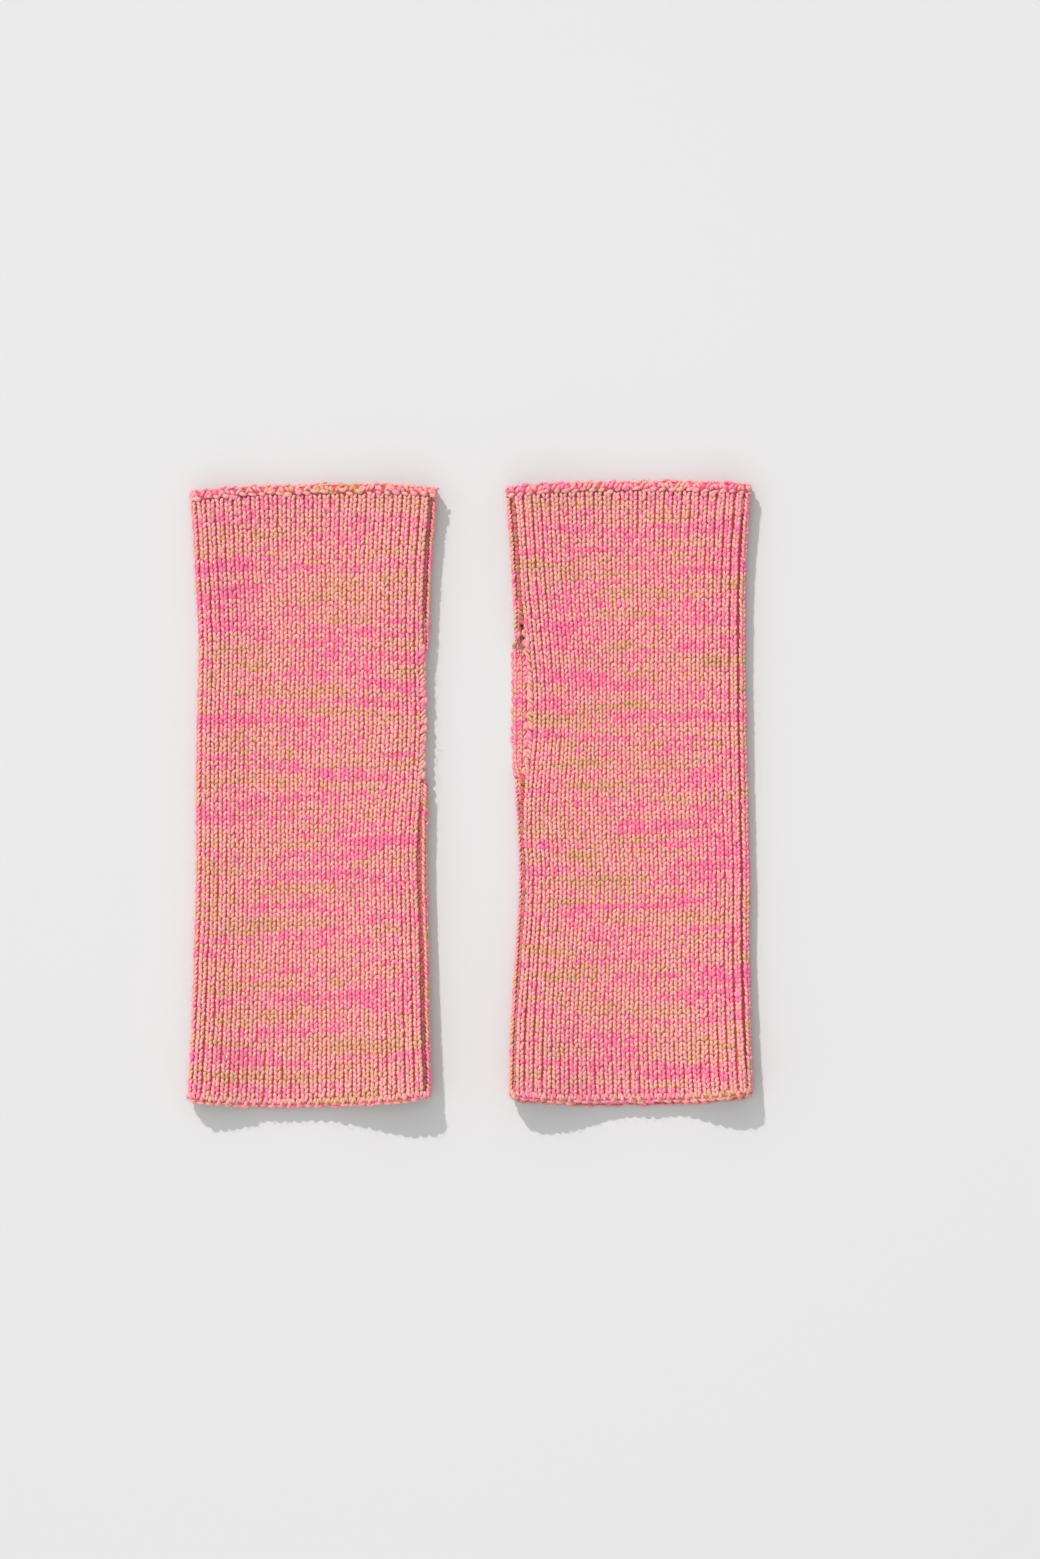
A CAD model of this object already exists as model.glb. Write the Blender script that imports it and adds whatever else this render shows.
"""The looks of a pair of fingerless rib-knit mittens, laid flat on a pale surface.

Every stitch is modelled. The part of a stitch that shows is its two legs, each a short plump grain
of yarn, and the rims, seams and selvedges are made of such grains too. A cloth surface, worked out
from named sizes much as the solids are, says where each grain goes: a place on it is a wale (a
column of stitches, counted round the tube from the seam), a course (a row of stitches, counted from
the wrist) and a lift (how far out of the middle of the cloth, in millimetres).
"""

import math
from dataclasses import dataclass

import bmesh
import bpy
import numpy as np
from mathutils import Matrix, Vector


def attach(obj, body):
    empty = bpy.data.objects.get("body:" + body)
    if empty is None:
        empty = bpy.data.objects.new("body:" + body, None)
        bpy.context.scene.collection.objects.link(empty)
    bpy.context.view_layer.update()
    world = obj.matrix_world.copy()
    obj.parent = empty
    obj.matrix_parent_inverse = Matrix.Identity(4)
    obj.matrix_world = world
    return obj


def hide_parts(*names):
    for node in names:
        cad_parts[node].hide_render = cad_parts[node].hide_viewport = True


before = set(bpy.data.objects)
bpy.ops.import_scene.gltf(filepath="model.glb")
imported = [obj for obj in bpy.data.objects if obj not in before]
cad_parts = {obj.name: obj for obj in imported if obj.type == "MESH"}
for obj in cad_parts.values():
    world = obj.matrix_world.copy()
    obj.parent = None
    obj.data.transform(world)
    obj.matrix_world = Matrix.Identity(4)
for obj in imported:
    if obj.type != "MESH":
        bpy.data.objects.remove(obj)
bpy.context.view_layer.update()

MM = 0.001
SEED = 7

# ---- The cloth's shape, in millimetres ----
#
# The section tables and the way the ring is made are the solids'. The seams turn round the thumb
# fold, the slot's upper edge opens more gently, and the wrist ends are up to 0.8 mm shorter.

WALL = 2.4
GAP = 0.3
RIM_HEIGHT = 4.4
CAST_ON_HEIGHT = 1.8
SELVEDGE_THICK = 1.4
FOLD_REACH = 3.6
OUTER_FALL = 28.0
THUMB_FALL = 42.0
SLOT_RAMP = 9.0
TOP_BEFORE, TOP_RAMP = 22.0, 50.0  # the top layer draws back from the seam sooner and more gently
BOW_POWER = 3  # how late the ends' bow bends, from the middle out to the folds
SEAM_HALF = 0.65  # half the gap between the panel's edges that the seam's strands bridge
SEAM_TURNS = 90.0  # how far from the wrist end the seam has turned to its place below the slot

# Steps round the ring in each of its stretches; closer than in the solids.
RING_STEPS = {"thumb_top": 8, "top": 60, "outer_fold": 28, "under": 24, "thumb_low": 20}
# The ring's outermost point, where the top layer turns under.
TURN_STEP = RING_STEPS["thumb_top"] + RING_STEPS["top"] + RING_STEPS["outer_fold"] // 2

SECTION_COLUMNS = ("along", "outer", "thumb", "outer_rise", "middle_rise", "thumb_rise")
LEFT_SECTIONS = [
    (0, 49.5, 47.4, 9.4, 5.2, 12.4),
    (27, 47.9, 46.9, 8.6, 5.1, 10.4),
    (60, 46.9, 46.4, 7.4, 5.1, 8.8),
    (98, 46.0, 45.6, 7.0, 5.1, 8.2),
    (125, 46.1, 46.1, 6.8, 5.1, 7.8),
    (155, 45.7, 45.6, 6.8, 5.1, 7.8),
    (186, 45.1, 46.4, 7.0, 5.1, 8.0),
    (215, 46.5, 47.5, 7.4, 5.4, 8.6),
    (245, 48.2, 49.8, 8.0, 6.0, 9.2),
]
RIGHT_SECTIONS = [
    (0, 48.8, 47.9, 11.2, 5.2, 11.8),
    (24, 48.2, 47.4, 8.8, 5.1, 11.4),
    (44, 47.9, 46.4, 7.2, 5.1, 10.4),
    (60, 47.6, 45.3, 6.6, 5.1, 9.0),
    (86, 47.8, 43.7, 6.4, 5.1, 7.2),
    (108, 47.3, 44.4, 6.4, 5.1, 7.0),
    (126, 46.8, 45.4, 6.6, 5.1, 7.2),
    (156, 46.3, 46.4, 6.8, 5.1, 7.6),
    (187, 46.0, 45.9, 7.0, 5.1, 7.8),
    (215, 46.4, 47.1, 7.6, 5.4, 8.2),
    (246, 48.4, 49.4, 8.6, 6.0, 9.0),
]


@dataclass
class Mitten:
    """One mitten's sizes and its place in the pair, in millimetres and degrees."""

    name: str
    sections: list
    thumb_towards: int
    centre: float
    wrist: float
    length: float
    wrist_bow: float  # how much shorter the sides are than the middle
    finger_bow: float
    under_longer: float  # how much further the lower layer reaches at the wrist
    lean: float  # along, for each millimetre across
    slot_start: float
    slot_end: float
    top_edge: float  # the slot's edges, across from the middle
    under_edge: float
    top_edge_rise: float
    wrist_end_angle: float  # how high round the thumb fold the seam lies
    wrist_seam_angle: float
    finger_seam_angle: float
    seam_lift: float
    wales_over_top: float  # from the seam to the outer fold
    fold_groove: float  # how much wider the fold's groove opens


MITTENS = [
    Mitten(
        name="left",
        sections=LEFT_SECTIONS,
        thumb_towards=1,
        centre=-62.2,
        wrist=-123.2,
        length=245.5,
        wrist_bow=3.4,
        finger_bow=2.2,
        under_longer=0.0,
        lean=0.02,
        slot_start=125.0,
        slot_end=181.0,
        top_edge=45.8,
        under_edge=44.4,
        top_edge_rise=6.0,
        wrist_end_angle=56.0,
        wrist_seam_angle=76.0,
        finger_seam_angle=54.0,
        seam_lift=-0.95,
        wales_over_top=26.85,
        fold_groove=-0.4,
    ),
    Mitten(
        name="right",
        sections=RIGHT_SECTIONS,
        thumb_towards=-1,
        centre=62.9,
        wrist=-121.6,
        length=245.2,
        wrist_bow=2.6,
        finger_bow=2.0,
        under_longer=1.2,
        lean=0.01,
        slot_start=126.0,
        slot_end=187.0,
        top_edge=41.2,
        under_edge=46.8,
        top_edge_rise=5.6,
        wrist_end_angle=50.0,
        wrist_seam_angle=50.0,
        finger_seam_angle=64.0,
        seam_lift=-0.35,
        wales_over_top=27.1,
        fold_groove=1.2,
    ),
]


def mix(a, b, share):
    return a + (b - a) * share


def ease(share):
    """Eases from 0 to 1, for shares already in that range."""
    return share * share * (3 - 2 * share)


def smooth(share):
    """Eases one share from 0 to 1, and holds those values outside that range."""
    return ease(min(1.0, max(0.0, share)))


def section_at(mitten, along):
    """The section table's columns at a distance along the mitten, on a smooth curve through its rows."""
    rows = mitten.sections
    along = min(rows[-1][0], max(rows[0][0], along))
    last = max(i for i in range(len(rows) - 1) if rows[i][0] <= along)
    before, start = rows[max(last - 1, 0)], rows[last]
    end, after = rows[last + 1], rows[min(last + 2, len(rows) - 1)]
    span = end[0] - start[0]
    t = (along - start[0]) / span
    found = {}
    for i, column in enumerate(SECTION_COLUMNS):
        leaving = (end[i] - before[i]) / (end[0] - before[0]) * span
        arriving = (after[i] - start[i]) / (after[0] - start[0]) * span
        found[column] = (
            (2 * t**3 - 3 * t**2 + 1) * start[i]
            + (t**3 - 2 * t**2 + t) * leaving
            + (3 * t**2 - 2 * t**3) * end[i]
            + (t**3 - t**2) * arriving
        )
    return found


def arc(centre, reach, rise, start, end, steps):
    """Points on an ellipse's arc, angles in degrees, without the last."""
    points = []
    for step in range(steps):
        angle = math.radians(mix(start, end, step / steps))
        points.append((centre[0] + reach * math.cos(angle), centre[1] + rise * math.sin(angle)))
    return points


def line(start, end, steps, height):
    """Points from start to end across, without the last, at the heights that a function gives."""
    places = [mix(start, end, step / steps) for step in range(steps)]
    return [(across, height(across)) for across in places]


def fall(distance, reach):
    """From 1 at a crest to 0 where the slope below it ends."""
    return 1 - smooth(distance / reach)


def top_height(section, outer_crest, thumb_crest, thumb_rise):
    """The function that gives the top layer's height, from its two crests down to its middle."""
    middle = section["middle_rise"] - WALL / 2
    outer_lift = section["outer_rise"] - WALL / 2 - middle
    thumb_lift = thumb_rise - WALL / 2 - middle

    def height(across):
        outer = outer_lift * fall(across - outer_crest, OUTER_FALL)
        thumb = thumb_lift * fall(thumb_crest - across, THUMB_FALL)
        return middle + outer + thumb

    return height


def closed_ring(mitten, section):
    """The ring where the thumb side is joined, open by SEAM_HALF each side of the seam."""
    steps = RING_STEPS
    under = WALL / 2
    outer_rise, thumb_rise = ((section[c] - WALL) / 2 for c in ("outer_rise", "thumb_rise"))
    outer_reach, thumb_reach = min(outer_rise, FOLD_REACH), min(thumb_rise, FOLD_REACH)
    outer_crest = -(section["outer"] - under - outer_reach)
    thumb_crest = section["thumb"] - under - thumb_reach
    height = top_height(section, outer_crest, thumb_crest, section["thumb_rise"])
    past_slot = (section["along"] - mitten.slot_start) / (mitten.slot_end - mitten.slot_start)
    turned = smooth(section["along"] / SEAM_TURNS)
    wrist_angle = mix(mitten.wrist_end_angle, mitten.wrist_seam_angle, turned)
    seam_angle = mix(wrist_angle, mitten.finger_seam_angle, smooth(past_slot))
    seam = math.radians(seam_angle)
    radius = math.hypot(thumb_reach * math.sin(seam), thumb_rise * math.cos(seam))
    half = math.degrees(SEAM_HALF / radius)
    outer_centre = (outer_crest, under + outer_rise)
    thumb_centre = (thumb_crest, under + thumb_rise)
    low_end = seam_angle - half
    points = arc(thumb_centre, thumb_reach, thumb_rise, seam_angle + half, 90, steps["thumb_top"])
    points += line(thumb_crest, outer_crest, steps["top"], height)
    points += arc(outer_centre, outer_reach, outer_rise, 90, 270, steps["outer_fold"])
    points += line(outer_crest, thumb_crest, steps["under"], lambda across: under)
    points += arc(thumb_centre, thumb_reach, thumb_rise, -90, low_end, steps["thumb_low"])
    points += arc(thumb_centre, thumb_reach, thumb_rise, low_end, low_end, 1)
    return points


def open_ring(mitten, section):
    """The ring in the middle of the thumb slot, where the top layer's edge lies on the lower layer."""
    steps = RING_STEPS
    under = WALL / 2
    outer_rise = (section["outer_rise"] - WALL) / 2
    outer_reach = min(outer_rise, FOLD_REACH)
    outer_crest = -(section["outer"] - under - outer_reach)
    top_end = mitten.top_edge - SELVEDGE_THICK - GAP
    under_end = mitten.under_edge - SELVEDGE_THICK - GAP
    top_turn, under_turn = top_end - FOLD_REACH, under_end - 2 * FOLD_REACH
    height = top_height(section, outer_crest, top_end, mitten.top_edge_rise)
    outer_centre = (outer_crest, under + outer_rise)
    points = line(top_end, top_turn, steps["thumb_top"], height)
    points += line(top_turn, outer_crest, steps["top"], height)
    points += arc(outer_centre, outer_reach, outer_rise, 90, 270, steps["outer_fold"])
    points += line(outer_crest, under_turn, steps["under"], lambda across: under)
    points += line(under_turn, under_end, steps["thumb_low"], lambda across: under)
    points.append((under_end, under))
    return points


def openness(mitten, along, before, ramp):
    """0 where the thumb side is joined, 1 in the slot; it starts to open that far before the slot."""
    into_slot = (along - mitten.slot_start + before) / ramp
    out_of_slot = (mitten.slot_end + before - along) / ramp
    return smooth(min(into_slot, out_of_slot))


def ring(mitten, along):
    """(across, height) of the middle of the cloth, from the seam over the top, round and back."""
    section = section_at(mitten, along)
    closed = closed_ring(mitten, section)
    opened = open_ring(mitten, section)
    top = openness(mitten, along, TOP_BEFORE, TOP_RAMP)
    under = openness(mitten, along, 0, SLOT_RAMP)
    shares = [top] * TURN_STEP + [under] * (len(closed) - TURN_STEP)
    return [
        (mix(a[0], b[0], share), mix(a[1], b[1], share)) for a, b, share in zip(closed, opened, shares)
    ]


# ---- The cloth as a surface that stitches are placed on ----

WALES = 57  # all round
WALES_TOP = 28  # the first wale that is all on the lower layer
COURSES = 131
WALE_MM = 3.2  # a wale's usual width, and a course's usual height, in millimetres
COURSE_MM = 1.83
EXTRA = 1.0  # wales past each edge of the panel that the surface still covers
SLOT_DRAWS_IN = 16  # wales that close up where the slot's edge draws back
SLOT_EASE = 40.0  # how far along the lower layer goes on doing so
EDGE_WALES = 1.0  # the wale that takes up what is left at its very edge
RIBS_OPEN = 4.0  # wales next to the seam and the outer fold where the grooves are deeper
ENDS_OPEN = 10.0  # courses next to both mouths where they are deeper too
FOLDS_FAR, FOLDS_NEAR = 0.35, 0.8  # how open the folds' grooves are, and how much more near the mouths
WIDEST_OPEN, ENDS_SHARE = 1.4, 0.7  # the most that a fold's grooves open, and the mouths' own share
FOLD_GROOVE, FOLD_GROOVE_HALF = 26, 0.7  # the last groove before the outer fold, and its reach in wales
ROWS, COLUMNS = 263, 591  # the sampled surface
RIPPLE_MM = 0.28  # how far the top layer waves, over this many wales and sampled rows
RIPPLE_WALES, RIPPLE_ROWS = 2.9, 10
SEAM_LINE = SEAM_HALF / WALE_MM  # wales from the panel's edge to the middle of the seam


def seeded(mitten, number, apart=1):
    """A source of randomness for one piece; the two mittens' numbers are that far apart."""
    return np.random.default_rng(SEED + number + apart * (mitten.thumb_towards > 0))


def drift(rng, rows, columns, spread, amount):
    """Slow random change down the rows, a separate one for each column."""
    knots = rng.normal(0, amount, (math.ceil(rows / spread) + 3, columns))
    place = np.arange(rows) / spread
    low = place.astype(int)
    share = ease((place - low)[:, None])
    return knots[low] * (1 - share) + knots[low + 1] * share


class Cloth:
    """A mitten's panel, sampled by wale and course."""

    def __init__(self, mitten):
        self.mitten = mitten
        self.first = CAST_ON_HEIGHT
        self.last = mitten.length - RIM_HEIGHT
        self.alongs = np.linspace(-1.0, mitten.length + 1.0, ROWS)
        self.wales = np.linspace(-EXTRA, WALES + EXTRA, COLUMNS)
        self.middle = np.array([self.sample_row(along) for along in self.alongs])
        self.middle[..., 2] += self.ripple() * MM
        along_step = np.gradient(self.middle, axis=0)
        across_step = np.gradient(self.middle, axis=1)
        normal = np.cross(across_step, along_step) * -mitten.thumb_towards
        self.normal = normal / np.linalg.norm(normal, axis=2, keepdims=True)
        wale_step = (self.wales[1] - self.wales[0]) * WALE_MM * MM
        self.closeness = np.linalg.norm(across_step, axis=2, keepdims=True) / wale_step

    def sample_row(self, along):
        """Points at even wales on one ring, in metres; past an edge the row goes straight on."""
        m = self.mitten
        section = section_at(m, along)
        path = np.array(ring(m, along))
        runs = []
        for way_round in (path, closed_ring(m, section), open_ring(m, section)):
            run = np.concatenate([[0], np.cumsum(np.hypot(*np.diff(way_round, axis=0).T))])
            runs.append((run, run[TURN_STEP], run[-1] - run[TURN_STEP]))
        (run, turn, rest), (_, joined_turn, joined_rest), (_, _, open_rest) = runs
        # Stitches keep the pitch that the joined ring gives them, and only those near the slot close up.
        steps = self.wales - m.wales_over_top
        pitches = (joined_turn / m.wales_over_top, joined_rest / (WALES - m.wales_over_top))
        place = turn + steps * np.where(steps < 0, *pitches)
        before, after = (along - m.slot_start + SLOT_EASE / 2), (m.slot_end + SLOT_EASE / 2 - along)
        eased = smooth(min(before, after) / SLOT_EASE)
        sides = (
            (self.wales, turn - joined_turn, turn - joined_turn),
            (WALES - self.wales, rest - joined_rest, eased * (open_rest - joined_rest)),
        )
        for (from_edge, shift, broad_shift), way in zip(sides, (-1, 1)):
            near = ease(1 - np.clip(from_edge / SLOT_DRAWS_IN, 0, 1))
            edge = np.exp(-((np.maximum(from_edge, 0) / EDGE_WALES) ** 2))
            place += way * near * mix(broad_shift, shift, edge)
        across = np.interp(place, run, path[:, 0])
        height = np.interp(place, run, path[:, 1])
        for end, sign, ahead in ((0, -1, 1), (-1, 1, -2)):
            beyond = (place - run[end]) * sign
            out = beyond > 0
            way = (path[end] - path[ahead]) / np.hypot(*(path[end] - path[ahead]))
            across[out] = path[end][0] + way[0] * beyond[out]
            height[out] = path[end][1] + way[1] * beyond[out]
        return self.in_pair(along, across, height)

    def ripple(self):
        """How much the top layer's slight waves lift it, in millimetres, at every sampled place."""
        place = (self.wales + EXTRA) / RIPPLE_WALES
        low = place.astype(int)
        waves = drift(seeded(self.mitten, 81), ROWS, low[-1] + 2, RIPPLE_ROWS, RIPPLE_MM)
        waves = mix(waves[:, low], waves[:, low + 1], ease(place - low))
        from_folds = np.minimum(self.wales, self.mitten.wales_over_top - self.wales)
        return np.clip(from_folds / RIPPLE_WALES, 0, 1) * (RIPPLE_MM + waves)

    def in_pair(self, along, across, height):
        """Points in the pair's frame, in metres, with the bow of both ends worked in."""
        m = self.mitten
        low = ease(1 - np.clip((height - WALL / 2) / (WALL + GAP), 0, 1))
        half_width = (m.sections[0][1] + m.sections[0][2]) / 2
        side = np.minimum(1.0, np.abs(across) / half_width) ** BOW_POWER
        first = m.wrist_bow * side - m.under_longer * low
        last = m.length - m.finger_bow * side
        x = m.thumb_towards * across
        y = m.wrist + mix(first, last, along / m.length) + m.lean * x
        return np.stack([m.centre + x, y, height], axis=-1) * MM

    def open_ribs(self, wale, course):
        """1 where the ribs stand apart, at the folds and mouths, 0 where they close up."""
        sides = sum(np.exp(-(((wale - edge) / RIBS_OPEN) ** 2)) for edge in (0, FOLD_GROOVE, WALES))
        from_end = np.minimum(course, COURSES - course)
        ends = np.exp(-((from_end / ENDS_OPEN) ** 2))
        sides = sides * (FOLDS_FAR + FOLDS_NEAR * np.exp(-((from_end / (4 * ENDS_OPEN)) ** 2)))
        at_fold = np.exp(-(((wale - FOLD_GROOVE) / FOLD_GROOVE_HALF) ** 2))
        apart = 1 - (1 - np.minimum(sides, WIDEST_OPEN)) * (1 - ENDS_SHARE * ends)
        return apart + self.mitten.fold_groove * at_fold

    def course_of(self, along):
        """The course at a distance along the mitten."""
        return (along - self.first) / (self.last - self.first) * COURSES

    def read(self, grid, wale, course):
        """The sampled grid's value between its rows and columns."""
        along = mix(self.first, self.last, np.asarray(course) / COURSES)
        row = (along - self.alongs[0]) / (self.alongs[1] - self.alongs[0])
        column = (np.asarray(wale) - self.wales[0]) / (self.wales[1] - self.wales[0])
        row, column = np.clip(row, 0, ROWS - 1.001), np.clip(column, 0, COLUMNS - 1.001)
        row, column = np.broadcast_arrays(row, column)
        r, c = row.astype(int), column.astype(int)
        u, v = (row - r)[..., None], (column - c)[..., None]
        low = grid[r, c] * (1 - v) + grid[r, c + 1] * v
        high = grid[r + 1, c] * (1 - v) + grid[r + 1, c + 1] * v
        return low * (1 - u) + high * u

    def at(self, wale, course, lift):
        """Points on the cloth and the directions out of it; lift is in millimetres."""
        normal = self.read(self.normal, wale, course)
        normal /= np.linalg.norm(normal, axis=-1, keepdims=True)
        point = self.read(self.middle, wale, course)
        return point + normal * (np.broadcast_to(lift, point.shape[:-1])[..., None] * MM), normal

    def across_seam(self, share, course, lift):
        """The same between the panel's two edges: share is 0 at the top layer's, 1 at the lower's."""
        lift = lift + self.mitten.seam_lift
        (top, top_normal), (low, low_normal) = self.at(0.0, course, 0), self.at(WALES, course, 0)
        share = np.asarray(share)[..., None]
        normal = mix(top_normal, low_normal, share)
        normal /= np.linalg.norm(normal, axis=-1, keepdims=True)
        lift = np.broadcast_to(lift, share.shape[:-1])[..., None]
        return mix(top, low, share) + normal * (lift * MM), normal


# ---- Grains: short plump lengths of yarn, pointed at both ends, that every stitch is made of ----


@dataclass
class Grain:
    """A grain's path as (wale, course, lift in mm), and its half sizes in mm at the inner points."""

    path: tuple
    half_width: tuple
    half_thick: tuple
    wobble: float = 1.0


# One leg of a stitch, on the right of its wale's middle. It comes out from behind the stitch below,
# lies over it and goes in again beside the groove.
LEG = Grain(
    path=(
        (0.06, -0.28, -0.35), (0.13, 0.08, 0.44), (0.25, 0.54, 0.76),
        (0.33, 0.98, 0.42), (0.31, 1.34, -0.45),
    ),
    half_width=(0.51, 0.65, 0.56),
    half_thick=(0.48, 0.56, 0.46),
)
# The finger rim is a bound-off chain: a row of lobes one wale long over a gap, and two short strands
# to a wale that come up from behind them and over the edge.
RIM_LOBE = Grain(
    path=(
        (-0.08, 0.22, 0.24), (0.12, 0.32, 0.84), (0.46, 0.48, 1.06),
        (0.80, 0.64, 0.88), (1.02, 0.76, 0.20),
    ),
    half_width=(0.60, 0.82, 0.60),
    half_thick=(0.48, 0.58, 0.48),
    wobble=2.4,
)
RIM_STRAND = Grain(
    path=(
        (-0.20, 0.56, 0.20), (-0.06, 0.92, 0.90), (0.14, 1.38, 1.02),
        (0.32, 1.80, 0.74), (0.44, 2.12, 0.00),
    ),
    half_width=(0.48, 0.64, 0.54),
    half_thick=(0.44, 0.54, 0.46),
    wobble=2.0,
)
RIM_CREST = Grain(
    path=(
        (-0.24, 1.86, 0.00), (-0.08, 2.06, 0.40), (0.12, 2.16, 0.46),
        (0.32, 2.12, 0.34), (0.48, 1.98, -0.10),
    ),
    half_width=(0.44, 0.54, 0.44),
    half_thick=(0.56, 0.66, 0.56),
    wobble=2.0,
)
# The cast-on edge: a loop that closes the foot of each groove, and the strand that they hang on.
CAST_ON_LOOP = Grain(
    path=(
        (-0.06, 1.05, -0.20), (-0.05, 0.60, 0.46), (0.00, 0.06, 0.66),
        (0.05, -0.46, 0.46), (0.06, -0.92, -0.20),
    ),
    half_width=(0.58, 0.74, 0.60),
    half_thick=(0.46, 0.56, 0.46),
    wobble=1.8,
)
CAST_ON_STRAND = Grain(
    path=(
        (-0.62, -0.54, -0.30), (-0.30, -0.66, 0.02), (0.02, -0.70, 0.08),
        (0.34, -0.64, 0.02), (0.62, -0.56, -0.30),
    ),
    half_width=(0.48, 0.60, 0.48),
    half_thick=(0.52, 0.62, 0.52),
    wobble=1.6,
)
# The seam: one strand across it to every course; its first numbers are shares of the way across.
SEAM_STRAND = Grain(
    path=(
        (1.40, 0.90, -0.30), (0.96, 0.64, 0.20), (0.50, 0.32, 0.50),
        (0.04, 0.00, 0.26), (-0.40, -0.26, -0.30),
    ),
    half_width=(0.66, 0.80, 0.68),
    half_thick=(0.40, 0.48, 0.40),
    wobble=1.6,
)
# The slot's selvedges: a strand to a course leans over the edge, and the yarn turns back round it in
# a knot at every second course.
SELVEDGE_STRAND = Grain(
    path=(
        (0.52, -0.40, -0.20), (0.34, 0.02, 0.42), (0.12, 0.46, 0.60),
        (-0.10, 0.92, 0.38), (-0.24, 1.32, -0.25),
    ),
    half_width=(0.50, 0.64, 0.54),
    half_thick=(0.48, 0.56, 0.48),
    wobble=1.6,
)
SELVEDGE_TURN = Grain(
    path=(
        (0.16, 0.10, -0.35), (-0.10, 0.40, 0.16), (-0.24, 0.98, 0.30),
        (-0.18, 1.56, 0.16), (0.06, 1.96, -0.35),
    ),
    half_width=(0.58, 0.78, 0.60),
    half_thick=(0.54, 0.66, 0.54),
    wobble=1.8,
)
SELVEDGE_KNOT = Grain(
    path=(
        (-0.30, 0.06, -0.30), (-0.02, 0.36, 0.26), (0.10, 0.90, 0.38),
        (0.02, 1.44, 0.26), (-0.26, 1.76, -0.30),
    ),
    half_width=(0.62, 0.80, 0.64),
    half_thick=(0.58, 0.70, 0.58),
    wobble=1.8,
)

# Stray fibres: hairs that stand out of the stitches, some leaning up the wale and some down it. Real
# ones are too fine to show, so these are drawn several times coarser, 0.1 mm across.
HAIR_UP = Grain(
    path=((0.00, 0.10, 0.50), (0.12, 0.34, 1.00), (0.24, 0.58, 1.30), (0.38, 0.78, 1.42)),
    half_width=(0.05, 0.04),
    half_thick=(0.05, 0.04),
    wobble=3.0,
)
HAIR_DOWN = Grain(
    path=((0.00, 0.50, 0.50), (0.10, 0.30, 1.00), (0.16, 0.06, 1.30), (0.32, -0.16, 1.42)),
    half_width=(0.05, 0.04),
    half_thick=(0.05, 0.04),
    wobble=3.0,
)
HAIRS = 500  # of each shape, each way round

# How much grains of one shape differ, in wales, courses, millimetres and shares of their size.
REACH_VARIES, WALE_VARIES, COURSE_VARIES, LIFT_VARIES, SIZE_VARIES = 0.07, 0.028, 0.09, 0.08, 0.06
OPEN_REACH = 0.18  # how much less a grain reaches to its side where the ribs stand apart
CLOSED_UP, SPREAD = 0.75, 1.1  # the least and most that a grain's width follows the cloth's
# What is added to the marl's places to keep the two mittens, both faces and a stitch's legs apart.
OTHER_MITTEN, OTHER_FACE, OTHER_LEG = 400, 300, 0.05


def place_grains(cloth, shape, wale, course, rng, mirror=1, face=1, press=1.0, surface=None):
    """Grains of one shape at many places.

    mirror -1 turns the shape left for right, face -1 puts it on the inside of the cloth, and press
    flattens it towards the middle of the cloth.
    """
    path = np.array(shape.path)
    count = len(wale)
    jitter = rng.normal(0, shape.wobble, (5, count, 1))
    apart = cloth.open_ribs(wale, course)[:, None]
    reach = mirror * path[:, 0] * (1 + REACH_VARIES * jitter[0]) * (1 - OPEN_REACH * apart)
    across = wale[:, None] + reach + WALE_VARIES * jitter[3]
    along = course[:, None] + path[:, 1] + COURSE_VARIES * jitter[1]
    lift = face * press * (path[:, 2] + LIFT_VARIES * jitter[2])
    centre, normal = (surface or cloth.at)(across, along, lift)
    size = 1 + SIZE_VARIES * jitter[4]
    close = np.clip(cloth.read(cloth.closeness, wale, course), CLOSED_UP, SPREAD)
    own = rng.random(count)
    yarn_along = wale * WALE_MM + OTHER_MITTEN * (cloth.mitten.thumb_towards > 0)
    yarn_course = course + OTHER_LEG * (1 - mirror) / 2 + OTHER_FACE * (face < 0)
    yarn = np.stack([yarn_along, yarn_course, own], axis=1)
    return {
        "centre": centre,
        "normal": normal * face,
        "half_width": np.array(shape.half_width) * size * close,
        "half_thick": np.array(shape.half_thick) * size * press,
        "yarn": yarn,
    }


UV_MARGIN = 0.06  # of a grain's cell in the map
PLY_RISE = 1.6  # how fast the plies' slant turns up the height of a grain


def set_vectors(mesh, name, values):
    """Gives every point of a mesh a named vector, for its material to read."""
    mesh.attributes.new(name, "FLOAT_VECTOR", "POINT").data.foreach_set("vector", values.ravel())


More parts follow.
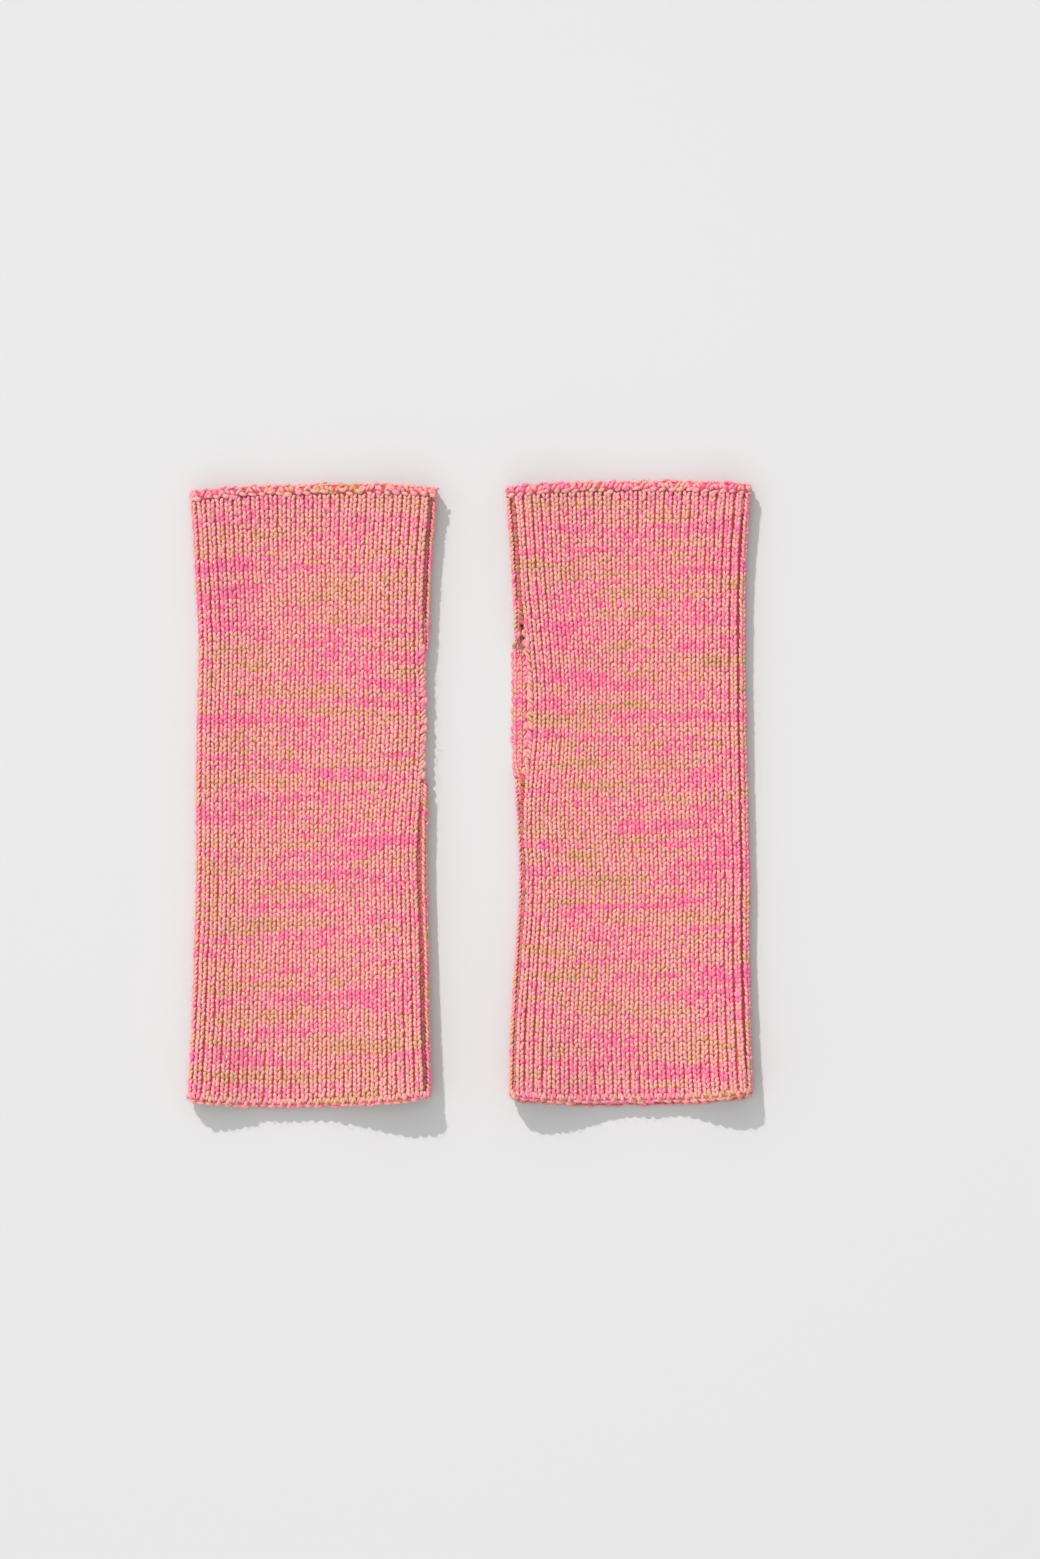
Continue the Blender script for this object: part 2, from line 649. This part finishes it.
def grain_mesh(name, groups, sides):
    """One mesh of closed grains, from groups that place_grains gives.

    Its "yarn" says how far along its course a grain lies, its course, and a number of its own; its
    "ply" says how far along the grain and how high on it a point lies. The marl is coloured by them.
    """
    joined = {key: np.concatenate([group[key] for group in groups]) for key in groups[0]}
    centre, normal, yarn = joined["centre"], joined["normal"], joined["yarn"]
    count, points = centre.shape[:2]
    rings = points - 2
    tangent = np.gradient(centre, axis=1)
    tangent /= np.linalg.norm(tangent, axis=2, keepdims=True)
    side = np.cross(normal, tangent)
    side /= np.linalg.norm(side, axis=2, keepdims=True)
    up = np.cross(tangent, side)
    angle = math.tau * (np.arange(sides) + 0.25 * (sides % 2)) / sides
    width = joined["half_width"][:, :, None, None] * MM
    thick = joined["half_thick"][:, :, None, None] * MM
    hoop = (
        centre[:, 1:-1, None]
        + side[:, 1:-1, None] * np.cos(angle)[:, None] * width
        + up[:, 1:-1, None] * np.sin(angle)[:, None] * thick
    )
    each = rings * sides + 2
    verts = np.empty((count, each, 3))
    verts[:, : rings * sides] = hoop.reshape(count, rings * sides, 3)
    verts[:, -2] = centre[:, 0]
    verts[:, -1] = centre[:, -1]

    corners, totals, cell = [], [], []
    for k in range(sides):
        corners += [rings * sides, (k + 1) % sides, k]
        cell += [((k + 0.5) / sides, 0), ((k + 1) / sides, 1 / points), (k / sides, 1 / points)]
        totals.append(3)
    for step in range(rings - 1):
        low, high = (step + 1) / points, (step + 2) / points
        for k in range(sides):
            a, b = step * sides + k, step * sides + (k + 1) % sides
            corners += [a, b, b + sides, a + sides]
            cell += [(k / sides, low), ((k + 1) / sides, low), ((k + 1) / sides, high), (k / sides, high)]
            totals.append(4)
    top = rings / points
    for k in range(sides):
        a, b = (rings - 1) * sides + k, (rings - 1) * sides + (k + 1) % sides
        corners += [a, b, rings * sides + 1]
        cell += [(k / sides, top), ((k + 1) / sides, top), ((k + 0.5) / sides, top + 1 / points)]
        totals.append(3)

    mesh = bpy.data.meshes.new(name)
    mesh.vertices.add(count * each)
    mesh.vertices.foreach_set("co", verts.ravel())
    all_corners = (np.arange(count)[:, None] * each + np.array(corners)).ravel()
    all_totals = np.tile(totals, count)
    mesh.loops.add(len(all_corners))
    mesh.loops.foreach_set("vertex_index", all_corners)
    mesh.polygons.add(len(all_totals))
    mesh.polygons.foreach_set("loop_start", np.concatenate([[0], np.cumsum(all_totals)[:-1]]))
    mesh.polygons.foreach_set("loop_total", all_totals)
    mesh.update(calc_edges=True)
    mesh.shade_smooth()
    # Each grain has a cell of its own in the map, inside a margin, so that the finish can be baked.
    per_row = math.ceil(math.sqrt(count))
    place = np.stack([np.arange(count) % per_row, np.arange(count) // per_row], axis=1)
    cells = (place[:, None] + UV_MARGIN + (1 - 2 * UV_MARGIN) * np.array(cell)) / per_row
    mesh.uv_layers.new(name="OFBake").data.foreach_set("uv", cells.ravel())
    set_vectors(mesh, "yarn", np.repeat(yarn, each, axis=0))
    along = np.concatenate([np.repeat((np.arange(rings) + 1) / (rings + 1), sides), [0, 1]])
    around = np.concatenate([np.tile(np.sin(angle), rings), [0, 0]])
    ply = np.stack([along, around, np.zeros(each)], axis=1)
    set_vectors(mesh, "ply", np.tile(ply, (count, 1)))
    return mesh


def wall_mesh(name, points, yarn, endless):
    """A closed wall from points (station, round, 3); endless joins its last station to its first."""
    stations, around = points.shape[:2]
    station, place = np.meshgrid(np.arange(stations - (not endless)), np.arange(around), indexing="ij")
    station, place = station.ravel(), place.ravel()
    following, beside = (station + 1) % stations, (place + 1) % around
    faces = [np.stack([station, place, station, beside, following, beside, following, place], 1)]
    # The wall takes the lower 94% of its map, and each end a narrow strip above.
    left, right = place / around, (place + 1) / around
    low, high = 0.94 * station / stations, 0.94 * (station + 1) / stations
    cells = [np.stack([left, low, right, low, right, high, left, high], 1)]
    if not endless:
        step = np.arange(around // 2 - 1)
        for end, row in ((0, 0.95), (stations - 1, 0.98)):
            e = np.full_like(step, end)
            faces.append(np.stack([e, step, e, step + 1, e, around - 2 - step, e, around - 1 - step], 1))
            left, right = step / around, (step + 1) / around
            low, high = np.full(len(step), row), np.full(len(step), row + 0.01)
            cells.append(np.stack([left, low, right, low, right, high, left, high], 1))
    faces = np.concatenate(faces).reshape(-1, 4, 2)
    mesh = bpy.data.meshes.new(name)
    corners = faces[..., 0] * around + faces[..., 1]
    mesh.from_pydata(points.reshape(-1, 3).tolist(), [], corners.tolist())
    mesh.uv_layers.new(name="OFBake").data.foreach_set("uv", np.concatenate(cells).ravel())
    set_vectors(mesh, "yarn", yarn)
    set_vectors(mesh, "ply", yarn * (0, math.tau / PLY_RISE, 0))
    shaped = bmesh.new()
    shaped.from_mesh(mesh)
    bmesh.ops.recalc_face_normals(shaped, faces=shaped.faces)
    shaped.to_mesh(mesh)
    shaped.free()
    mesh.shade_smooth()
    return mesh


def linked(name, data):
    """A new object in the scene."""
    made = bpy.data.objects.new(name, data)
    bpy.context.scene.collection.objects.link(made)
    return made


def new_piece(mesh, material, slot, *nodes):
    """A piece of the pair on its one rigid body, standing for the solids it is named with."""
    piece = linked(mesh.name, mesh)
    mesh.materials.append(material)
    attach(piece, "root")
    if nodes:
        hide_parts(*nodes)
    return piece


# ---- Yarn and floor ----


def linear(hex_colour):
    """An sRGB hex colour as linear RGBA."""
    channels = [int(hex_colour[i : i + 2], 16) / 255 for i in (1, 3, 5)]
    return (*(c / 12.92 if c <= 0.04045 else ((c + 0.055) / 1.055) ** 2.4 for c in channels), 1)


def add(owner, kind, inputs, output=0, stops=(), **settings):
    """Adds a node with its settings and links to a material or world, and gives one of its outputs.

    An input is a value, or the output that it links from. stops are a ramp's places and hex colours.
    """
    node = owner.node_tree.nodes.new(kind)
    for name, value in settings.items():
        setattr(node, name, value)
    for index, (place, colour) in enumerate(stops):
        elements = node.color_ramp.elements
        element = elements[index] if index < 2 else elements.new(place)
        element.position, element.color = place, linear(colour)
    for key, value in inputs.items():
        if isinstance(value, bpy.types.NodeSocket):
            owner.node_tree.links.new(value, node.inputs[key])
        else:
            node.inputs[key].default_value = value
    return node.outputs[output]


def marled_yarn(name, stops, relief_mm):
    """Cotton marl, a pink ply twisted with a tan one, worsted spun and left matt.

    The eye gets soft runs of colour along the courses, each leg a little different from the next, a
    slant of plies across each leg, and a faint bloom of fibres instead of any gloss. relief_mm is
    how far the plies stand proud of the line where they meet.
    """
    yarn = bpy.data.materials.new(name)
    yarn.use_nodes = True
    shader = yarn.node_tree.nodes["Principled BSDF"]
    place = add(yarn, "ShaderNodeAttribute", {}, output=1, attribute_name="yarn")
    ply = add(yarn, "ShaderNodeAttribute", {}, output=1, attribute_name="ply")
    own = add(yarn, "ShaderNodeSeparateXYZ", {0: place}, output=2)
    # Where one ply keeps coming to the front, its colour runs on along the course. The noise changes
    # over some 50 mm along it and over about three courses, and its octaves break that up.
    stretch = (1 / 50, 0.3, 0.0)
    stretched = add(yarn, "ShaderNodeVectorMath", {0: place, 1: stretch}, operation="MULTIPLY")
    uneven = {"Vector": stretched, "Scale": 1.0, "Detail": 4.0, "Roughness": 0.62}
    runs = add(yarn, "ShaderNodeTexNoise", uneven)
    # Two plies cross a leg in a slant, about one full turn to each leg, from a start of its own.
    twist = {0: ply, 1: (5.5, PLY_RISE, 0.0)}
    turns = add(yarn, "ShaderNodeVectorMath", twist, output=1, operation="DOT_PRODUCT")
    phase = add(yarn, "ShaderNodeMath", {0: own, 1: 40.0, 2: turns}, operation="MULTIPLY_ADD")
    slant = add(yarn, "ShaderNodeMath", {0: phase}, operation="SINE")
    # Fibres of the two plies mix at the surface, in patches of a little under 1 mm.
    body = add(yarn, "ShaderNodeTexCoord", {}, output="Object")
    fibres = add(yarn, "ShaderNodeTexNoise", {"Vector": body, "Scale": 1.1 / MM, "Detail": 2.0})
    # The tan ply's share of what shows: less than 0 is all pink and more than 1 all tan.
    share = -1.655
    for part, weight in ((runs, 3.4), (own, 0.55), (fibres, 0.3), (slant, 0.17)):
        share = add(yarn, "ShaderNodeMath", {0: part, 1: weight, 2: share}, operation="MULTIPLY_ADD")
    relief = add(yarn, "ShaderNodeMath", {0: fibres, 1: 5.0, 2: slant}, operation="MULTIPLY_ADD")
    raised = {"Strength": 0.35, "Distance": relief_mm * MM, "Height": relief}
    links = {
        "Base Color": add(yarn, "ShaderNodeValToRGB", {0: share}, stops=stops),
        "Normal": add(yarn, "ShaderNodeBump", raised),
        "Roughness": add(yarn, "ShaderNodeMath", {0: own, 1: 0.2, 2: 0.72}, operation="MULTIPLY_ADD"),
    }
    for socket, source in links.items():
        yarn.node_tree.links.new(source, shader.inputs[socket])
    shader.inputs["IOR"].default_value = 1.5
    shader.inputs["Specular IOR Level"].default_value = 0.3
    shader.inputs["Sheen Weight"].default_value = 0.5
    shader.inputs["Sheen Roughness"].default_value = 0.5
    return yarn


def seamless_paper(name):
    """Matt background paper: an even pale grey with no gloss."""
    paper = bpy.data.materials.new(name)
    paper.use_nodes = True
    shader = paper.node_tree.nodes["Principled BSDF"]
    shader.inputs["Base Color"].default_value = linear("#D4D4D4")
    shader.inputs["Roughness"].default_value = 0.9
    shader.inputs["Specular IOR Level"].default_value = 0.1
    return paper


# Pink ply, tan ply, and both together.
MARL = ((0.0, "#F8709C"), (1.0, "#D8A071"), (0.5, "#F3A3A0"))
# Purl stitches and cores lie deep between the ribs, where the colour is fuller.
MARL_BETWEEN_RIBS = ((0.0, "#DC506A"), (1.0, "#BA7C4E"), (0.5, "#CC6A5E"))


# ---- The pieces ----


# How far each rib wanders on its own, and all of them together: over some courses, by wales.
RIB_SWAY, ALL_SWAY = (5, 0.018), (14, 0.02)


def rib_stitches(cloth, part, wales, sides, material):
    """The legs of every stitch in a range of wales."""
    m = cloth.mitten
    rng = seeded(m, wales[0], apart=100)
    columns = np.arange(*wales)
    sway = drift(rng, COURSES, len(columns), *RIB_SWAY) + drift(rng, COURSES, 1, *ALL_SWAY)
    course, wale = np.meshgrid(np.arange(COURSES), columns, indexing="ij")
    middles = (wale + 0.5 + sway).ravel()
    courses = course.ravel().astype(float)
    # Along the slot, but for its ends, the selvedge's loops stand in for the first wale's outer leg.
    start, end = cloth.course_of(m.slot_start) + 2, cloth.course_of(m.slot_end) - 3
    kept = ~((courses > start) & (courses < end) & (middles < 0.8))
    groups = [
        place_grains(cloth, LEG, middles, courses, rng),
        place_grains(cloth, LEG, middles[kept], courses[kept], rng, mirror=-1),
    ]
    return new_piece(grain_mesh(f"{m.name}_{part}", groups, sides), material, "marled_rib")


def inside_stitches(cloth, material):
    """Stitches on the inside of the cloth where it shows: the lower layer in the slot, and both mouths.

    The inside of this rib has its own ribs, behind the grooves of the outside.
    """
    m = cloth.mitten
    rng = seeded(m, 31)
    # Through the slot, the last few wales show from a little before it to a little past it.
    first, last = (math.floor(cloth.course_of(a)) for a in (m.slot_start - 6, m.slot_end + 12))
    in_slot = np.append(np.arange(WALES - 5.0, WALES), WALES - 0.26)
    all_round = np.arange(1.0, WALES)
    areas = (
        (in_slot, np.arange(first, last) + 0.0),
        (all_round, np.arange(0.0, 4)),
        (all_round, np.arange(COURSES - 4.0, COURSES - 1)),
    )
    groups = []
    for wales, courses in areas:
        course, wale = (grid.ravel() for grid in np.meshgrid(courses, wales, indexing="ij"))
        for mirror in (-1, 1):
            groups.append(place_grains(cloth, LEG, wale, course, rng, mirror=mirror, face=-1))
    return new_piece(grain_mesh(f"{m.name}_ribs_inside", groups, 4), material, "marled_rib")


# The ground's outer and inner faces: how they lift from the middle of the cloth, and how much lower
# they lie where the ribs stand apart, in millimetres.
GROUND_FACES = ((0.24, 0.47), (-0.28, 0.18))
GROUND_COURSES = 48
EDGE_DROP, EDGE_REACH = 0.35, 0.6  # how much lower it lies at the panel's edges, within some wales


def panel_ground(cloth, material):
    """The cloth between the ribs, seen at the bottom of the grooves: a thin closed wall."""
    m = cloth.mitten
    courses = np.linspace(0.0, COURSES, GROUND_COURSES)
    wales = np.linspace(0.0, WALES, 2 * WALES + 1)
    apart = cloth.open_ribs(wales, courses[:, None])
    at_edge = np.exp(-((np.minimum(wales, WALES - wales) / EDGE_REACH) ** 2))
    outer, inner = (
        cloth.at(wales, courses[:, None], lift - lower * apart - EDGE_DROP * at_edge)[0]
        for lift, lower in GROUND_FACES
    )
    points = np.concatenate([outer, inner[:, ::-1]], axis=1)
    round_wales = np.concatenate([wales, wales[::-1]])
    across = np.broadcast_to(round_wales * WALE_MM, (len(courses), len(round_wales)))
    along = np.broadcast_to(courses[:, None], across.shape)
    yarn = np.stack([across, along, np.zeros(across.shape)], axis=-1)
    mesh = wall_mesh(f"{m.name}_panel_ground", points, yarn, endless=False)
    return new_piece(mesh, material, "marled_rib", f"{m.name}_body_panel")


def stray_fibres(cloth, material):
    """Fine hairs over what shows from above, which soften the edges and the shadow's outline."""
    rng = seeded(cloth.mitten, 91)
    groups = []
    for shape in (HAIR_UP, HAIR_DOWN):
        for mirror in (-1, 1):
            wale, course = rng.uniform(-0.5, WALES_TOP - 1.0, HAIRS), rng.uniform(0.0, COURSES, HAIRS)
            # A third of them stand at the folds and a third at the ends, where they show best.
            third = HAIRS // 3
            wale[:third] = rng.choice((-0.1, WALES_TOP - 1.2), third) + rng.uniform(-0.5, 0.5, third)
            course[-third:] = rng.choice((-0.4, COURSES + 1.2), third) + rng.normal(0, 0.5, third)
            groups.append(place_grains(cloth, shape, wale, course, rng, mirror=mirror))
    return new_piece(grain_mesh(f"{cloth.mitten.name}_stray_fibres", groups, 3), material, "marled_rib")


def end_core(cloth, part, course, half_height, half_thick, material):
    """The yarn inside a rim: an endless cord round one end of the tube, under the stitches over it."""
    m = cloth.mitten
    wales = np.linspace(-SEAM_LINE, WALES + SEAM_LINE, 2 * WALES + 1)[:-1]
    angle = math.tau * np.arange(8) / 8
    courses = course + half_height / COURSE_MM * np.sin(angle)
    points, _ = cloth.at(wales[:, None], courses, half_thick * np.cos(angle))
    across, round_course = np.broadcast_arrays(wales[:, None] * WALE_MM, course + np.sin(angle))
    yarn = np.stack([across, round_course, np.zeros_like(across)], axis=-1)
    mesh = wall_mesh(f"{m.name}_{part}_core", points, yarn, endless=True)
    return new_piece(mesh, material, "marled_edging", f"{m.name}_{part}")


UNDER_RIM_PRESS = 0.7  # how thick the finger rim stays where the mitten lies on it


def rim_stitches(cloth, material):
    """The bound-off chain round the finger end; two strands in five lean the other way."""
    rng = seeded(cloth.mitten, 41)
    groups = []
    for shape, pitch, face in (
        (RIM_LOBE, 1.0, 1),
        (RIM_STRAND, 0.5, 1),
        (RIM_CREST, 0.5, 1),
        (RIM_LOBE, 1.0, -1),
        (RIM_STRAND, 0.5, -1),
    ):
        wales = np.arange(-0.6, WALES, pitch)
        leaning_back = (rng.random(len(wales)) < 0.4) & (shape is not RIM_LOBE)
        for mirror, chosen in ((1, wales[~leaning_back]), (-1, wales[leaning_back])):
            end = np.full(len(chosen), COURSES + 0.0)
            press = np.where(chosen > WALES_TOP, UNDER_RIM_PRESS, 1.0)[:, None]
            groups.append(place_grains(cloth, shape, chosen, end, rng, mirror, face, press))
    mesh = grain_mesh(f"{cloth.mitten.name}_finger_rim_chain", groups, 6)
    return new_piece(mesh, material, "marled_edging")


def cast_on_stitches(cloth, material):
    """The cast-on loops round the wrist end."""
    rng = seeded(cloth.mitten, 51)
    grooves = np.arange(WALES + 1) + 0.0
    start = np.zeros(len(grooves))
    groups = []
    for face in (1, -1):
        groups.append(place_grains(cloth, CAST_ON_LOOP, grooves, start, rng, face=face))
        groups.append(place_grains(cloth, CAST_ON_STRAND, grooves, start, rng, face=face))
    mesh = grain_mesh(f"{cloth.mitten.name}_cast_on_loops", groups, 5)
    return new_piece(mesh, material, "marled_edging")


CORD_STEP = 2.5  # between a cord's rings along the mitten, in millimetres
CORD_TIP = 0.15  # how far from closed a cord's ends stay, as an angle on its taper


def edge_cord(cloth, name, surface, wale, start, end, half_across, half_thick, lift, material):
    """The yarn under a row of strands or loops: a cord along the thumb side, tapered at both ends.

    wale and half_across are in wales, or shares of the way across the seam.
    """
    rings = max(4, round((end - start) / CORD_STEP))
    courses = np.linspace(cloth.course_of(start), cloth.course_of(end), rings)
    taper = np.sin(np.linspace(CORD_TIP, math.pi - CORD_TIP, rings)) ** 0.25
    angle = math.tau * np.arange(6) / 6
    across = wale + half_across * taper[:, None] * np.cos(angle)
    along = np.broadcast_to(courses[:, None], across.shape)
    points, _ = surface(across, courses[:, None], lift + half_thick * taper[:, None] * np.sin(angle))
    yarn = np.stack([across * WALE_MM, along, np.zeros(across.shape)], axis=-1)
    mesh = wall_mesh(f"{cloth.mitten.name}_{name}_cord", points, yarn, endless=False)
    return new_piece(mesh, material, "marled_edging")


def seam_stitches(cloth, part, start, end, material):
    """The linking strands between two places along the thumb side."""
    rng = seeded(cloth.mitten, 61)
    courses = np.arange(cloth.course_of(start), cloth.course_of(end) - 0.5)
    edge = np.zeros(len(courses))
    strands = place_grains(cloth, SEAM_STRAND, edge, courses, rng, surface=cloth.across_seam)
    name = f"{cloth.mitten.name}_{part}"
    return new_piece(grain_mesh(f"{name}_strands", [strands], 5), material, "marled_edging", name)


def selvedge_stitches(cloth, part, shapes, line, material):
    """The loops along one edge of the slot, on one wale line; shapes have their pitch in courses."""
    m = cloth.mitten
    rng = seeded(m, 73 if line > 1 else 71)
    groups = []
    for shape, pitch in shapes:
        courses = np.arange(cloth.course_of(m.slot_start + 3), cloth.course_of(m.slot_end) - 1, pitch)
        groups.append(place_grains(cloth, shape, np.full(len(courses), line), courses, rng))
    name = f"{m.name}_{part}"
    return new_piece(grain_mesh(f"{name}_loops", groups, 6), material, "marled_edging", name)


SEAM_CORD = {"half_across": 0.95, "half_thick": 0.8, "lift": -0.8}
SLOT_CORD = {"half_across": 0.20, "half_thick": 0.65, "lift": 0.0}
# The wales that the slot's edgings follow: its top edge, its lower one, and the knots on that one.
TOP_LINE, UNDER_LINE, KNOT_LINE = 0.06, WALES + 0.06, WALES + 0.24


def make_mitten(mitten, marl, ground):
    """All the pieces of one mitten, with its panel declared as a sheet of knitted cloth."""
    cloth = Cloth(mitten)
    panel = panel_ground(cloth, ground)
    middle, under, by_seam = WALES_TOP // 2, WALES_TOP + 2, WALES - 3
    ribs = [
        rib_stitches(cloth, "ribs_top_thumb_side", (0, middle), 5, marl),
        rib_stitches(cloth, "ribs_top_outer_side", (middle, under), 5, marl),
        rib_stitches(cloth, "ribs_under", (under, by_seam), 3, marl),
        rib_stitches(cloth, "ribs_under_seam_side", (by_seam, WALES), 5, marl),
        inside_stitches(cloth, marl),
    ]
    stray_fibres(cloth, marl)
    end_core(cloth, "finger_rim", COURSES + 1.15, half_height=1.7, half_thick=0.85, material=ground)
    rim_stitches(cloth, marl)
    end_core(cloth, "wrist_cast_on", -0.45, half_height=0.55, half_thick=0.42, material=ground)
    cast_on_stitches(cloth, marl)

    # The wrist seam runs 4 mm into the slot and the finger seam starts 3 mm past it; their cords go a
    # little under the edgings at both ends of the mitten.
    wrist_end, finger_end = mitten.slot_start + 4, mitten.slot_end + 3
    rim_start = mitten.length - RIM_HEIGHT
    for part, start, end, cord in (
        ("wrist_seam", CAST_ON_HEIGHT, wrist_end, (CAST_ON_HEIGHT - 1, wrist_end)),
        ("finger_seam", finger_end, rim_start, (finger_end, rim_start + 1)),
    ):
        seam_stitches(cloth, part, start, end, ground)
        edge_cord(cloth, part, cloth.across_seam, 0.5, *cord, **SEAM_CORD, material=ground)
    top_shapes = ((SELVEDGE_STRAND, 1.0), (SELVEDGE_TURN, 2.0))
    selvedge_stitches(cloth, "slot_edge_top", top_shapes, TOP_LINE, marl)
    selvedge_stitches(cloth, "slot_edge_under", ((SELVEDGE_KNOT, 2.0),), KNOT_LINE, marl)
    slot = (wrist_end - 2, finger_end + 2)
    for part, line in (("slot_edge_top", TOP_LINE), ("slot_edge_under", UNDER_LINE)):
        edge_cord(cloth, part, cloth.at, line, *slot, **SLOT_CORD, material=ground)


# ---- Light, floor and camera ----

LIGHT_TRAVEL = (0.66, -1.27, -1.0)  # from the upper left of the pair, about 35 degrees above it
FILL = 0.745  # how bright the fill is on average
FILL_LEAN = (-0.24, -0.14, 0.0)  # how much brighter the fill is from the left and from below the wrists
FLOOR_HALF = 3.0
EYE = (0.0197, 0.0059, 2.6)
FRAME_HEIGHT = 0.615  # of what the camera sees at the floor
SENSOR = 36.0


def lights_and_camera(paper):
    """A sun for the key, a white world for the fill, a soft pool over the pair, paper and a long lens."""
    world = bpy.data.worlds.new("studio")
    world.use_nodes = True
    studio = world.node_tree.nodes["Background"]
    studio.inputs["Color"].default_value = linear("#FBFFFF")
    towards = add(world, "ShaderNodeTexCoord", {}, output="Generated")
    leaning = {0: towards, 1: FILL_LEAN}
    lean = add(world, "ShaderNodeVectorMath", leaning, output=1, operation="DOT_PRODUCT")
    fill = add(world, "ShaderNodeMath", {0: lean, 1: FILL}, operation="ADD")
    world.node_tree.links.new(fill, studio.inputs["Strength"])
    bpy.context.scene.world = world
    key = bpy.data.lights.new("key", "SUN")
    key.energy = 2.6
    key.color = linear("#FFF7F7")[:3]
    key.angle = math.radians(1.5)
    lamp = linked("key", key)
    lamp.rotation_mode = "QUATERNION"
    lamp.rotation_quaternion = Vector(LIGHT_TRAVEL).to_track_quat("-Z", "Y")
    pool = bpy.data.lights.new("pool", "SPOT")
    pool.energy = 8.0
    pool.spot_size, pool.spot_blend = math.radians(56), 1.0
    pool.shadow_soft_size = 0.4
    linked("pool", pool).location = (-0.10, 0.14, 1.5)
    mesh = bpy.data.meshes.new("floor")
    corners = [(x * FLOOR_HALF, y * FLOOR_HALF, 0) for x, y in ((-1, -1), (1, -1), (1, 1), (-1, 1))]
    mesh.from_pydata(corners, [], [(0, 1, 2, 3)])
    mesh.materials.append(paper)
    linked("floor", mesh)
    camera = bpy.data.cameras.new("camera")
    camera.sensor_width = SENSOR
    camera.lens = SENSOR / FRAME_HEIGHT * EYE[2]
    eye = linked("camera", camera)
    eye.location = EYE
    bpy.context.scene.camera = eye
    bpy.context.scene.view_settings.view_transform = "Standard"


def main():
    lights_and_camera(seamless_paper("seamless_paper"))
    marl = marled_yarn("two_ply_cotton_marl", MARL, 0.1)
    ground = marled_yarn("marl_between_ribs", MARL_BETWEEN_RIBS, 0.5)
    for mitten in MITTENS:
        make_mitten(mitten, marl, ground)


main()
